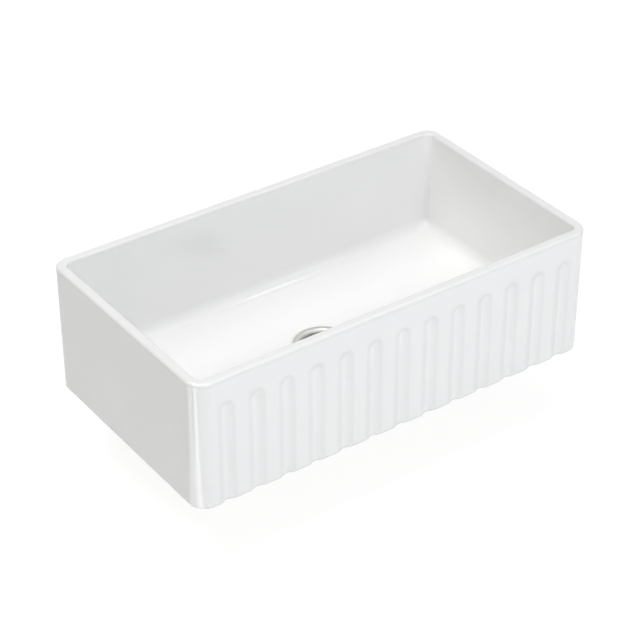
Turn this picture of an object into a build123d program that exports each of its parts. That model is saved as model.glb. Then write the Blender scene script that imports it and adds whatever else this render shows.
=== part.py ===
from build123d import *
from math import atan, atan2, cos, degrees, radians, sin, tan
import os

os.makedirs("parts", exist_ok=True)

# Farmhouse sink with a fluted apron and a basket strainer. Millimetres.
# The origin is on the drain's axis, on the plane of the foot that the sink stands on.
# +X runs along the apron to the right, -Y points out of the apron and +Z points up.

# --- fireclay body, outside ---
body_width = 838.2
body_depth = 463.6
body_height = 254.0
front_corner_radius = 32.0
back_corner_radius = 28.0
rim_outer_round = 5.5
foot_edge_round = 2.5

# --- flutes in the apron ---
flute_count = 13
flute_pitch = 60.0
flute_depth = 4.8
flute_half_width = 20.5
flute_hollow_radius = 15.0
flute_top_centre_z = 190.0

# --- bowl ---
wall = 19.0
rim_inner_round = 4.5
bowl_corner_radius = 12.0
bowl_floor_z = 44.0
bowl_cove_radius = 25.0
bowl_floor_corner_radius = 48.0
bowl_cove_sections = 7
dish_radius = 190.0
dish_drop = 2.0

# --- underside of the base ---
slab_thickness = 22.0
foot_width = 30.0
recess_corner_radius = 24.0
recess_roof_round = 8.0
drain_pad_radius = 76.0
drain_pad_height = 3.0
drain_hole_radius = 44.8
drain_seat_radius = 60.0
drain_seat_depth = 1.2
drain_edge_round = 1.0

# --- strainer body ---
flange_radius = 57.15
flange_lip = 0.8
flange_rise = 2.4
flange_crown_width = 7.0
throat_width = 5.0
throat_drop = 6.4
throat_lead = 1.0
cup_inner_radius = 41.0
cup_wall = 2.4
cup_depth = 48.0
cup_floor_drop = 6.0
stopper_seat_radius = 28.0
stopper_seat_width = 4.0
funnel_drop = 4.0
outlet_radius = 19.8
outlet_wall = 3.8
outlet_length = 19.0
outlet_step = 1.4
thread_pitch = 2.3
thread_depth = 0.7

# --- seals and nut under the base ---
flange_seal_thickness = 1.0
flange_seal_width = 8.0
gasket_thickness = 4.0
gasket_radius = 58.0
friction_ring_thickness = 1.0
friction_ring_radius = 57.0
ring_clearance = 0.5
locknut_height = 13.0
locknut_skirt_height = 4.0
locknut_skirt_radius = 56.0
locknut_hub_radius = 49.0
locknut_lugs = 8
locknut_lug_width = 9.0
locknut_round = 0.8
thread_clearance = 0.15

# --- crosspiece in the outlet ---
crosspiece_thickness = 3.0
crosspiece_rim = 2.4
crosspiece_arm = 3.6
crosspiece_arms = 4
crosspiece_hub_radius = 8.6
crosspiece_hole_radius = 5.6
crosspiece_depth = 3.2
crosspiece_clearance = 0.1

# --- tailpiece and its nut ---
tail_radius = 19.05
tail_wall = 1.0
tail_length = 101.6
tail_flange_radius = 22.8
tail_flange_thickness = 1.4
tail_washer_thickness = 2.0
tail_washer_radius = 22.8
coupling_height = 22.0
coupling_lip = 4.0
coupling_across_flats = 55.0
coupling_corner_cut = 1.2
coupling_corner_slope = 2.6
coupling_tail_clearance = 1.0

# --- basket ---
basket_gap = 0.3
basket_sheet = 0.9
basket_lip_width = 2.6
basket_bead_radius = 0.9
basket_lip_round = 1.5
basket_side_gap = 1.2
basket_bottom_radius = 31.0
basket_knuckle_round = 6.0
basket_hole_radius = 1.9
wall_hole_rows = 4
wall_holes_per_row = 28
wall_hole_row_gap = 6.4
wall_hole_first_height = 10.0
floor_hole_rings = 3
floor_hole_first_radius = 14.0
floor_hole_ring_gap = 5.4
floor_holes_first_ring = 14
floor_holes_added_per_ring = 7

# --- post, knob and stopper ---
post_radius = 3.5
post_running_gap = 0.08
post_seating_gap = 0.05
collar_radius = 7.5
collar_height = 5.0
knob_below_flange = 6.0
knob_height = 18.0
knob_radius = 10.5
knob_edge_height = 6.0
knob_waist_radius = 5.0
knob_foot_radius = 6.5
knob_foot_height = 3.0
knob_socket_depth = 10.0
stopper_height = 9.7
stopper_top_radius = 24.0
stopper_lip_radius = 27.2
stopper_lip_height = 2.2
stopper_hollow_radius = 13.0
stopper_hollow_depth = 4.0
stack_gap = 0.1
seal_washer_radius = 12.0
seal_washer_thickness = 1.5
post_nut_across_flats = 13.0
post_nut_height = 4.0
clip_length = 9.0
clip_end_wall = 0.9
clip_radius = 5.25
clip_slot = 1.2
clip_slot_share = 0.7
clip_drop = 0.5
post_head_thickness = 1.4

# --- heights that follow ---
drain_floor_z = bowl_floor_z - dish_drop
slab_under_z = drain_floor_z - slab_thickness
pad_z = slab_under_z - drain_pad_height
seat_z = drain_floor_z - drain_seat_depth
flange_under_z = seat_z + flange_seal_thickness
flange_top_z = flange_under_z + flange_rise
friction_ring_z = pad_z - gasket_thickness - friction_ring_thickness
locknut_z = friction_ring_z - locknut_height
cup_foot_z = flange_top_z - cup_depth
stopper_seat_z = cup_foot_z - cup_floor_drop
funnel_foot_z = stopper_seat_z - funnel_drop
outlet_shoulder_z = stopper_seat_z - cup_wall
outlet_end_z = outlet_shoulder_z - outlet_length
crosspiece_z = funnel_foot_z - crosspiece_depth - crosspiece_thickness
tail_washer_z = outlet_end_z - tail_washer_thickness
tail_flange_z = tail_washer_z - tail_flange_thickness
tail_end_z = tail_washer_z - tail_length
coupling_z = tail_flange_z - coupling_lip
stopper_z = stopper_seat_z + basket_gap
basket_under_z = stopper_z + stopper_height + stack_gap
collar_z = basket_under_z + basket_sheet + stack_gap
knob_top_z = flange_top_z - knob_below_flange
knob_z = knob_top_z - knob_height
seal_washer_z = stopper_z + stopper_hollow_depth - seal_washer_thickness
post_nut_z = seal_washer_z - post_nut_height
clip_z = crosspiece_z - clip_drop - clip_length
post_end_z = clip_z - post_head_thickness

# --- radii and places that follow ---
front_y = -body_depth / 2
thread_radius = cup_inner_radius + cup_wall
outlet_thread_radius = outlet_radius + outlet_wall
outlet_lower_radius = outlet_radius - outlet_step
throat_z = flange_top_z - throat_lead
throat_foot_z = throat_z - throat_drop
throat_slope = atan2(throat_drop, throat_width)
throat_flare = (flange_under_z - throat_foot_z) / tan(throat_slope)
seat_flare = (seat_z - throat_foot_z) / tan(throat_slope)


def turned(*corners):
    """Solid of revolution about the drain's axis. A corner is (radius, height) or has a rounding third."""
    points = [corner[:2] for corner in corners]
    roundings = [corner[2] if len(corner) > 2 else 0 for corner in corners]
    outline = FilletPolyline(*points, radius=roundings, close=True)
    return revolve(Plane.XZ * make_face(outline), Axis.Z)


def flat_ring(outer_radius, inner_radius, bottom_z, thickness):
    top_z = bottom_z + thickness
    return turned((inner_radius, bottom_z), (outer_radius, bottom_z),
                  (outer_radius, top_z), (inner_radius, top_z))


def disc(radius, bottom_z, height):
    return Pos(0, 0, bottom_z) * Cylinder(radius, height, align=(Align.CENTER, Align.CENTER, Align.MIN))


def around(solid, count, offset=0):
    """Copies of a solid, evenly spaced about the drain's axis. The offset is a share of the spacing."""
    return [Rot(0, 0, 360 * (index + offset) / count) * solid for index in range(count)]


def thread_grooves(crest_radius, top_z, bottom_z):
    """V grooves that stand for an outside thread, whole turns from the bottom up."""
    half_pitch = thread_pitch / 2
    grooves = []
    root_z = bottom_z + half_pitch
    while root_z < top_z:
        grooves.append(turned((crest_radius - thread_depth, root_z),
                              (crest_radius + thread_depth, root_z - half_pitch),
                              (crest_radius + thread_depth, root_z + half_pitch)))
        root_z += thread_pitch
    return grooves


def save(solid, node):
    solid.label = node
    export_step(solid, "parts/" + node + ".step")


# ---------------------------------------------------------------- fireclay body

# A flute's section is a hollow arc that meets the apron through a wider arc on each side.
# The cutter stands proud of the apron by this little, so that the two surfaces cross.
flute_overlap = 0.02
flute_turn = 2 * atan((flute_depth + flute_overlap) / flute_half_width)
flute_blend_radius = flute_half_width / sin(flute_turn) - flute_hollow_radius


def flute_cutter():
    deepest_y = front_y + flute_depth
    start_y = front_y - flute_overlap
    outside_y = front_y - flute_depth
    half_turn = flute_turn / 2
    turn_point = (flute_hollow_radius * sin(flute_turn),
                  deepest_y - flute_hollow_radius * (1 - cos(flute_turn)))
    hollow_middle = (flute_hollow_radius * sin(half_turn),
                     deepest_y - flute_hollow_radius * (1 - cos(half_turn)))
    blend_middle = (flute_half_width - flute_blend_radius * sin(half_turn),
                    start_y + flute_blend_radius * (1 - cos(half_turn)))
    blend_end = (flute_half_width, start_y)
    half_section = make_face(Curve() + [
        ThreePointArc((0, deepest_y), hollow_middle, turn_point),
        ThreePointArc(turn_point, blend_middle, blend_end),
        Polyline(blend_end, (flute_half_width, outside_y), (0, outside_y), (0, deepest_y)),
    ])
    below_foot = 1.0
    straight = extrude(half_section, flute_top_centre_z + below_foot)
    straight += mirror(straight, Plane.YZ)
    round_top = revolve(half_section, Axis.Y, revolution_arc=180)
    if round_top.center().Z < 0:
        round_top = mirror(round_top, Plane.XY)
    return Pos(0, 0, -below_foot) * straight + Pos(0, 0, flute_top_centre_z) * round_top


def outer_block():
    plan = Rectangle(body_width, body_depth)
    plan = fillet(plan.vertices().sort_by(Axis.Y)[:2], front_corner_radius)
    plan = fillet(plan.vertices().sort_by(Axis.Y)[-2:], back_corner_radius)
    block = extrude(plan, body_height)
    block = fillet(block.faces().sort_by(Axis.Z)[-1].edges(), rim_outer_round)
    first_flute_x = -flute_pitch * (flute_count - 1) / 2
    cutter = flute_cutter()
    block -= [Pos(first_flute_x + index * flute_pitch, 0, 0) * cutter for index in range(flute_count)]
    return fillet(block.faces().sort_by(Axis.Z)[0].edges(), foot_edge_round)


def bowl_section(inset, corner_radius, height):
    length = body_width - 2 * wall - 2 * inset
    breadth = body_depth - 2 * wall - 2 * inset
    return Pos(0, 0, height) * RectangleRounded(length, breadth, corner_radius)


def bowl_space():
    """The space in the bowl: straight walls over a cove that grows rounder in plan towards the floor."""
    sections = []
    for index in range(bowl_cove_sections):
        angle = radians(90 * index / (bowl_cove_sections - 1))
        inset = bowl_cove_radius * (1 - sin(angle))
        height = bowl_floor_z + bowl_cove_radius * (1 - cos(angle))
        growth = (bowl_floor_corner_radius - bowl_corner_radius) * inset / bowl_cove_radius
        sections.append(bowl_section(inset, bowl_corner_radius + growth, height))
    above = 1.0
    wall_foot_z = bowl_floor_z + bowl_cove_radius
    shaft = extrude(bowl_section(0, bowl_corner_radius, wall_foot_z), body_height + above - wall_foot_z)
    dish = turned((0, drain_floor_z), (drain_seat_radius, drain_floor_z), (dish_radius, bowl_floor_z),
                  (dish_radius, bowl_floor_z + above), (0, bowl_floor_z + above))
    return loft(sections) + shaft + dish


def base_recess():
    plan = RectangleRounded(body_width - 2 * foot_width, body_depth - 2 * foot_width, recess_corner_radius)
    recess = extrude(plan, slab_under_z)
    recess = fillet(recess.faces().sort_by(Axis.Z)[-1].edges(), recess_roof_round)
    return recess - disc(drain_pad_radius, pad_z, drain_pad_height)


def drain_way():
    """The drain hole, its flared mouth and the shallow seat round it, with an eased lower edge."""
    beyond = 10.0
    return turned((0, pad_z - beyond),
                  (drain_hole_radius + drain_edge_round + beyond, pad_z - beyond),
                  (drain_hole_radius, pad_z + drain_edge_round),
                  (drain_hole_radius, throat_foot_z),
                  (drain_hole_radius + seat_flare, seat_z),
                  (drain_seat_radius, seat_z),
                  (drain_seat_radius, drain_floor_z + beyond),
                  (0, drain_floor_z + beyond))


def sink_body():
    body = outer_block() - bowl_space()
    rim = body.faces().sort_by(Axis.Z)[-1]
    body = fillet(rim.inner_wires()[0].edges(), rim_inner_round)
    return body - base_recess() - drain_way()


# ---------------------------------------------------------------- strainer

def strainer_body():
    crown_outer = throat_width + cup_inner_radius + flange_crown_width
    crown_round = 3.0
    edge_round = 0.35
    body = turned((thread_radius, throat_foot_z),
                  (thread_radius + throat_flare, flange_under_z, edge_round),
                  (flange_radius, flange_under_z, edge_round),
                  (flange_radius, flange_under_z + flange_lip, edge_round),
                  (crown_outer, flange_top_z, crown_round),
                  (crown_outer - flange_crown_width / 2, flange_top_z, crown_round),
                  (cup_inner_radius + throat_width, throat_z, crown_round),
                  (cup_inner_radius, throat_foot_z, crown_round),
                  (cup_inner_radius, cup_foot_z, crown_round),
                  (stopper_seat_radius, stopper_seat_z),
                  (stopper_seat_radius - stopper_seat_width, stopper_seat_z),
                  (outlet_radius, funnel_foot_z),
                  (outlet_radius, crosspiece_z),
                  (outlet_lower_radius, crosspiece_z),
                  (outlet_lower_radius, outlet_end_z, edge_round),
                  (outlet_thread_radius, outlet_end_z, edge_round),
                  (outlet_thread_radius, outlet_shoulder_z),
                  (stopper_seat_radius + cup_wall, outlet_shoulder_z, crown_round),
                  (thread_radius, cup_foot_z - cup_wall, edge_round))
    grooves = thread_grooves(thread_radius, pad_z, cup_foot_z)
    grooves += thread_grooves(outlet_thread_radius, outlet_shoulder_z - thread_pitch,
                              outlet_end_z + thread_pitch)
    return body - grooves


def crosspiece():
    outer_radius = outlet_radius - crosspiece_clearance
    spider = flat_ring(outer_radius, outer_radius - crosspiece_rim, crosspiece_z, crosspiece_thickness)
    spider += disc(crosspiece_hub_radius, crosspiece_z, crosspiece_thickness)
    reach = outer_radius - crosspiece_rim / 2
    arm = Box(reach, crosspiece_arm, crosspiece_thickness, align=(Align.MIN, Align.CENTER, Align.MIN))
    spider += around(Pos(0, 0, crosspiece_z) * arm, crosspiece_arms)
    return spider - disc(crosspiece_hole_radius, crosspiece_z - 1, crosspiece_thickness + 2)


def locknut():
    bore = thread_radius + thread_clearance
    top_z = friction_ring_z
    skirt_z = top_z - locknut_skirt_height
    nut = turned((bore, locknut_z),
                 (locknut_hub_radius, locknut_z, locknut_round),
                 (locknut_hub_radius, skirt_z, locknut_round),
                 (locknut_skirt_radius, skirt_z, locknut_round),
                 (locknut_skirt_radius, top_z, locknut_round),
                 (bore, top_z))
    lug_start = locknut_hub_radius - 2 * locknut_round
    lug_length = locknut_skirt_radius - locknut_round - lug_start
    lug_height = locknut_height - locknut_skirt_height / 2
    lug = Box(lug_length, locknut_lug_width, lug_height, align=(Align.MIN, Align.CENTER, Align.MIN))
    lug = fillet(lug.faces().sort_by(Axis.X)[-1].edges().filter_by(Axis.Z), locknut_round)
    return nut + around(Pos(lug_start, 0, locknut_z) * lug, locknut_lugs)


def tailpiece():
    edge_round = 0.4
    inner_radius = tail_radius - tail_wall
    return turned((inner_radius, tail_end_z),
                  (tail_radius, tail_end_z),
                  (tail_radius, tail_flange_z, coupling_tail_clearance / 2),
                  (tail_flange_radius, tail_flange_z, edge_round),
                  (tail_flange_radius, tail_washer_z, edge_round),
                  (inner_radius, tail_washer_z))


def coupling_nut():
    corner_radius = coupling_across_flats / 2 / cos(radians(30))
    top_z = coupling_z + coupling_height
    hexagon = extrude(Pos(0, 0, coupling_z) * RegularPolygon(corner_radius, 6), coupling_height)
    cut_radius = corner_radius - coupling_corner_cut
    chamfer_radius = cut_radius - coupling_corner_slope
    slope_height = coupling_corner_slope * tan(radians(30))
    envelope = turned((0, coupling_z), (chamfer_radius, coupling_z),
                      (cut_radius, coupling_z + slope_height), (cut_radius, top_z - slope_height),
                      (chamfer_radius, top_z), (0, top_z))
    bore = outlet_thread_radius + thread_clearance
    inside = turned((0, coupling_z - 1), (tail_radius + coupling_tail_clearance, coupling_z - 1),
                    (tail_radius + coupling_tail_clearance, tail_flange_z), (bore, tail_flange_z),
                    (bore, top_z + 1), (0, top_z + 1))
    return (hexagon & envelope) - inside


# ---------------------------------------------------------------- basket

basket_mid_rise = (basket_gap + basket_bead_radius) / cos(throat_slope)
basket_wall_radius = cup_inner_radius - basket_side_gap
basket_shoulder_z = throat_foot_z + basket_mid_rise - basket_side_gap * tan(throat_slope)
basket_lip_radius = basket_wall_radius + basket_lip_width
basket_lip_z = basket_shoulder_z + basket_lip_width * tan(throat_slope)
basket_floor_mid_z = basket_under_z + basket_sheet / 2
basket_wall_slope = atan2(basket_wall_radius - basket_bottom_radius, basket_shoulder_z - basket_floor_mid_z)


def basket_holes():
    """Round holes: staggered rows square to the sloping wall, and rings through the floor."""
    through = 4 * basket_sheet
    drill = Cylinder(basket_hole_radius, through)
    holes = []
    for row in range(wall_hole_rows):
        height = wall_hole_first_height + row * wall_hole_row_gap
        radius = basket_bottom_radius + height * tan(basket_wall_slope)
        tilt = 90 + degrees(basket_wall_slope)
        wall_drill = Pos(radius, 0, basket_floor_mid_z + height) * Rot(0, tilt, 0) * drill
        holes += around(wall_drill, wall_holes_per_row, offset=0.5 * (row % 2))
    for index in range(floor_hole_rings):
        radius = floor_hole_first_radius + index * floor_hole_ring_gap
        count = floor_holes_first_ring + index * floor_holes_added_per_ring
        holes += around(Pos(radius, 0, basket_floor_mid_z) * drill, count)
    return holes


def basket_cup():
    sheet_line = FilletPolyline((basket_lip_radius, basket_lip_z),
                                (basket_wall_radius, basket_shoulder_z),
                                (basket_bottom_radius, basket_floor_mid_z),
                                (post_radius + post_running_gap, basket_floor_mid_z),
                                radius=[basket_lip_round, basket_knuckle_round])
    cup = revolve(Plane.XZ * trace(sheet_line, basket_sheet), Axis.Z)
    cup += Pos(0, 0, basket_lip_z) * Torus(basket_lip_radius, basket_bead_radius)
    return cup - basket_holes()


def stopper_seal():
    bore = post_radius + post_seating_gap
    lip_round = 0.6
    top_z = stopper_z + stopper_height
    return turned((bore, stopper_z + stopper_hollow_depth),
                  (stopper_hollow_radius, stopper_z + stopper_hollow_depth),
                  (stopper_hollow_radius, stopper_z),
                  (stopper_lip_radius, stopper_z, lip_round),
                  (stopper_lip_radius, stopper_z + stopper_lip_height, lip_round),
                  (stopper_top_radius, top_z, lip_round),
                  (bore, top_z))


def post_nut():
    hexagon = Pos(0, 0, post_nut_z) * RegularPolygon(post_nut_across_flats / 2 / cos(radians(30)), 6)
    nut = extrude(hexagon, post_nut_height)
    return nut - disc(post_radius + post_seating_gap, post_nut_z - 1, post_nut_height + 2)


def basket_post():
    socket_top_z = knob_z + knob_socket_depth - stack_gap
    head_radius = post_radius + post_seating_gap + clip_end_wall
    return turned((0, post_end_z),
                  (head_radius, post_end_z, head_radius - post_radius - post_seating_gap),
                  (head_radius, clip_z),
                  (post_radius, clip_z),
                  (post_radius, socket_top_z),
                  (0, socket_top_z))


def post_clip():
    bore = post_radius + post_seating_gap
    end_radius = bore + clip_end_wall
    top_z = clip_z + clip_length
    middle_z = clip_z + clip_length / 2
    clip = turned((bore, clip_z), (end_radius, clip_z), (clip_radius, middle_z, clip_length),
                  (end_radius, top_z), (bore, top_z))
    slot_height = clip_length * clip_slot_share
    slot = Pos(0, 0, clip_z) * Box(4 * clip_radius, clip_slot, slot_height,
                                   align=(Align.CENTER, Align.CENTER, Align.MIN))
    return clip - slot - Rot(0, 0, 90) * slot


def basket_knob():
    bore = post_radius + post_seating_gap
    crown_round = 2.4
    waist_round = 3.0
    edge_round = 0.5
    head_z = knob_top_z - knob_edge_height
    return turned((bore, knob_z),
                  (knob_foot_radius, knob_z, edge_round),
                  (knob_foot_radius, knob_z + knob_foot_height, edge_round),
                  (knob_waist_radius, knob_z + knob_foot_height, edge_round),
                  (knob_waist_radius, head_z - waist_round, waist_round),
                  (knob_radius, head_z, edge_round),
                  (knob_radius, knob_top_z, crown_round),
                  (0, knob_top_z),
                  (0, knob_z + knob_socket_depth),
                  (bore, knob_z + knob_socket_depth))


save(sink_body(), "sink_body")
save(flat_ring(flange_radius, flange_radius - flange_seal_width, seat_z, flange_seal_thickness),
     "flange_seal")
save(strainer_body(), "strainer_body")
save(crosspiece(), "crosspiece")
save(flat_ring(gasket_radius, thread_radius + ring_clearance, pad_z - gasket_thickness, gasket_thickness),
     "drain_gasket")
save(flat_ring(friction_ring_radius, thread_radius + ring_clearance, friction_ring_z,
               friction_ring_thickness),
     "friction_ring")
save(locknut(), "locknut")
save(flat_ring(tail_washer_radius, outlet_lower_radius, tail_washer_z, tail_washer_thickness),
     "tailpiece_washer")
save(tailpiece(), "tailpiece")
save(coupling_nut(), "coupling_nut")
save(basket_cup(), "basket_cup")
save(stopper_seal(), "stopper_seal")
save(flat_ring(seal_washer_radius, post_radius + post_seating_gap, seal_washer_z, seal_washer_thickness),
     "seal_washer")
save(post_nut(), "post_nut")
save(basket_post(), "basket_post")
save(post_clip(), "post_clip")
save(flat_ring(collar_radius, post_radius + post_seating_gap, collar_z, collar_height), "post_collar")
save(basket_knob(), "basket_knob")
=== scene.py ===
import math

import bmesh
import bpy
from mathutils import Matrix, Vector


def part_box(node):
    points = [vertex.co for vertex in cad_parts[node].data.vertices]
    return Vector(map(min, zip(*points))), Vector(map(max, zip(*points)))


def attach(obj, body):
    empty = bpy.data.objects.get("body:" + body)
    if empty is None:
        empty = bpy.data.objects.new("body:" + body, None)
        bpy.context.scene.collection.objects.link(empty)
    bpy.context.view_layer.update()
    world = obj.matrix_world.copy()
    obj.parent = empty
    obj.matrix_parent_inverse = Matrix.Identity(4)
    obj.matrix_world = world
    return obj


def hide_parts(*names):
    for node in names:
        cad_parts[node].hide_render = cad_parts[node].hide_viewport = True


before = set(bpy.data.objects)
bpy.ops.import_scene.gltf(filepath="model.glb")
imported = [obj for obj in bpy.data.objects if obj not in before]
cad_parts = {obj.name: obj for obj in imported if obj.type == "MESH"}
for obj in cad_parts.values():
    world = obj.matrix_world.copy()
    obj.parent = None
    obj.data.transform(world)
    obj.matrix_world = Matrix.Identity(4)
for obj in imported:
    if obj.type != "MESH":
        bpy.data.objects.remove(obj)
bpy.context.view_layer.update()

bl_info = {
    "name": "Farmhouse sink",
    "version": (1, 0, 0),
    "blender": (4, 5, 0),
    "location": "3D View > Sidebar > Sink",
    "description": "Builds a fireclay farmhouse sink with a fluted apron and a basket strainer",
    "category": "Add Mesh",
}

mm = 0.001
weld = 0.002 * mm  # points closer than this are one point


def length(name, default, description):
    return bpy.props.FloatProperty(name=name, description=description, default=default, unit="LENGTH",
                                   precision=4)


def colour(name, default, description):
    return bpy.props.FloatVectorProperty(name=name, description=description, default=default, size=3,
                                         subtype="COLOR", min=0.0, max=1.0)


def factor(name, default, description):
    return bpy.props.FloatProperty(name=name, description=description, default=default, subtype="FACTOR",
                                   min=0.0, max=1.0)


class FireclaySettings(bpy.types.PropertyGroup):
    width: length("Width", 838.2 * mm, "Along the apron")
    depth: length("Depth", 463.6 * mm, "From the apron to the back")
    height: length("Height", 254.0 * mm, "From the foot to the rim")
    wall: length("Wall", 19.0 * mm, "Thickness of the four walls")
    front_corner: length("Front corners", 32.0 * mm, "Radius of the two upright corners beside the apron")
    back_corner: length("Back corners", 28.0 * mm, "Radius of the two upright corners at the back")
    rim_outer: length("Rim, outside", 5.5 * mm, "Rounding of the rim's outer edge")
    rim_inner: length("Rim, inside", 4.5 * mm, "Rounding of the rim's inner edge")
    foot_round: length("Foot edge", 2.5 * mm, "Rounding of the foot's outer edge")
    flute_count: bpy.props.IntProperty(name="Flutes", description="Grooves in the apron", default=13, min=1)
    flute_pitch: length("Flute spacing", 60.0 * mm, "From one flute's middle to the next")
    flute_depth: length("Flute depth", 4.8 * mm, "At the flute's middle")
    flute_half_width: length("Flute half width", 20.5 * mm, "From the flute's middle to the apron's flat")
    flute_hollow: length("Flute hollow", 15.0 * mm, "Radius of the hollow in the flute's middle")
    flute_top: length("Flute top", 190.0 * mm, "Height of the centre of the flute's round end")
    bowl_corner: length("Bowl corners", 12.0 * mm, "Radius of the bowl's upright corners")
    cove: length("Cove", 25.0 * mm, "Rounding where the walls meet the bowl's floor")
    floor_corner: length("Floor corners", 48.0 * mm, "Radius of the floor's corners in plan")
    floor_height: length("Floor", 44.0 * mm, "Height of the floor by the walls")
    dish: length("Dish", 190.0 * mm, "Radius within which the floor falls towards the drain")
    dish_drop: length("Fall", 2.0 * mm, "How far the floor falls")
    seat: length("Drain seat", 60.0 * mm, "Radius of the shallow seat round the drain")
    seat_depth: length("Seat depth", 1.2 * mm, "How far the seat lies below the floor")
    drain_hole: length("Drain hole", 44.8 * mm, "Radius of the hole through the base")
    slab: length("Base", 22.0 * mm, "Thickness of the base")
    pad: length("Drain pad", 76.0 * mm, "Radius of the flat pad under the drain")
    pad_height: length("Pad height", 3.0 * mm, "How far the pad stands below the base")
    foot_width: length("Foot", 30.0 * mm, "Width of the foot that runs round the base")
    recess_corner: length("Recess corners", 24.0 * mm, "Radius of the recess under the base in plan")
    recess_round: length("Recess roof", 8.0 * mm, "Rounding where the recess meets the base")
    glaze: colour("Glaze", (0.850, 0.848, 0.844), "Colour of the white glaze")
    # Painted shade: this darker glaze colour is mixed in along rounded edges, the foot and the flute borders,
    # where shade falls.
    painted_edge_shade: colour("Thin glaze", (0.700, 0.699, 0.693), "Colour of the glaze that thins over an edge")
    bisque: colour("Bare clay", (0.62, 0.56, 0.47), "Colour of the unglazed clay underneath")
    gloss: factor("Glaze roughness", 0.09, "Roughness of the glaze")


class FittingSettings(bpy.types.PropertyGroup):
    pitch: length("Thread pitch", 2.3 * mm, "Pitch of the outside threads")
    thread_depth: length("Thread depth", 0.7 * mm, "Depth of the outside threads")
    hole: length("Basket hole", 1.9 * mm, "Radius of the basket's holes")
    sheet: length("Basket sheet", 0.9 * mm, "Thickness of the basket's sheet")
    steel: colour("Steel", (0.53, 0.525, 0.50), "Colour of the strainer's stainless steel")
    # Painted shade: the basket's steel is darkened to stand for the dim inside of the drain.
    basket_shade: colour("Stained steel", (0.26, 0.26, 0.22), "Colour of the basket, which water has left dull")
    chrome: colour("Chrome", (0.80, 0.80, 0.81), "Colour of the plated tailpiece and its nut")
    brass: colour("Brass", (0.70, 0.52, 0.25), "Colour of the locknut")
    black_rubber: colour("Black rubber", (0.028, 0.028, 0.030), "Colour of the gasket and the stopper")
    pale_rubber: colour("Pale seal", (0.56, 0.555, 0.53), "Colour of the seal under the flange")
    fibre: colour("Fibre", (0.40, 0.25, 0.14), "Colour of the fibre ring")
    plastic: colour("White plastic", (0.78, 0.78, 0.76), "Colour of the washer on the tailpiece")


class StudioSettings(bpy.types.PropertyGroup):
    floor: colour("Floor", (0.82, 0.82, 0.82), "Colour of the floor")
    floor_height: length("Floor height", -135.5 * mm, "Just below the end of the tailpiece")
    sky: bpy.props.FloatProperty(name="Sky", description="Strength of the even light", default=0.12)
    camera: bpy.props.FloatVectorProperty(name="Camera", description="Where the camera stands", size=3,
                                          subtype="TRANSLATION", default=(-1.8043, -2.5077, 2.1848))
    view: bpy.props.FloatVectorProperty(name="View", description="Direction the camera looks in", size=3,
                                        subtype="DIRECTION", default=(0.48232, 0.67349, -0.56016))
    lens: bpy.props.FloatProperty(name="Lens", description="Focal length on a 36 mm sensor, in millimetres",
                                  default=116.54)


# ---------------------------------------------------------------- shader node groups

def node_group(name, inputs, outputs):
    """An empty shader node group, with its input node and output node."""
    group = bpy.data.node_groups.new(name, "ShaderNodeTree")
    for title, default in inputs.items():
        kind = "NodeSocketColor" if hasattr(default, "__len__") else "NodeSocketFloat"
        group.interface.new_socket(title, in_out="INPUT", socket_type=kind).default_value = default
    for title in outputs:
        group.interface.new_socket(title, in_out="OUTPUT", socket_type="NodeSocketFloat")
    return group, group.nodes.new("NodeGroupInput"), group.nodes.new("NodeGroupOutput")


def add_node(tree, kind, settings=None, **links):
    """A node whose inputs are set by name, from a value or from another node's output."""
    node = tree.nodes.new(kind)
    for key, value in (settings or {}).items():
        setattr(node, key, value)
    for key, value in links.items():
        place = int(key[1:]) if key[0] == "_" and key[1:].isdigit() else key.replace("_", " ")
        socket = node.inputs[place]
        if isinstance(value, bpy.types.NodeSocket):
            tree.links.new(value, socket)
        else:
            socket.default_value = value
    return node


def maths(tree, operation, *values):
    """The result of a sum on values or on other nodes' outputs."""
    links = {f"_{place}": value for place, value in enumerate(values)}
    return add_node(tree, "ShaderNodeMath", {"operation": operation}, **links).outputs["Value"]


def mixed(tree, share, first, second):
    """The colour between two colours."""
    node = add_node(tree, "ShaderNodeMix", {"data_type": "RGBA"}, Factor=share, _6=first, _7=second)
    return node.outputs[2]


def mottle_group():
    """Soft uneven value between Low and High, for colour and roughness that drift over a surface."""
    group, given, result = node_group("mottle", {"Scale": 30.0, "Detail": 3.0, "Low": 0.0, "High": 1.0},
                                      ["Value"])
    place = add_node(group, "ShaderNodeTexCoord").outputs["Object"]
    noise = add_node(group, "ShaderNodeTexNoise", Vector=place, Scale=given.outputs["Scale"],
                     Detail=given.outputs["Detail"], Roughness=0.55)
    spread = add_node(group, "ShaderNodeMapRange", {"interpolation_type": "SMOOTHSTEP"},
                      Value=noise.outputs["Fac"], From_Min=0.3, From_Max=0.7,
                      To_Min=given.outputs["Low"], To_Max=given.outputs["High"])
    group.links.new(spread.outputs["Result"], result.inputs["Value"])
    return group


def grain_group():
    """Fine grain as a height in metres, from speckle that is coarse enough to see close up."""
    group, given, result = node_group("grain", {"Scale": 900.0, "Depth": 0.00005}, ["Height"])
    place = add_node(group, "ShaderNodeTexCoord").outputs["Object"]
    noise = add_node(group, "ShaderNodeTexNoise", Vector=place, Scale=given.outputs["Scale"], Detail=4.0,
                     Roughness=0.7)
    depth = maths(group, "MULTIPLY", noise.outputs["Fac"], given.outputs["Depth"])
    group.links.new(depth, result.inputs["Height"])
    return group


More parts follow.
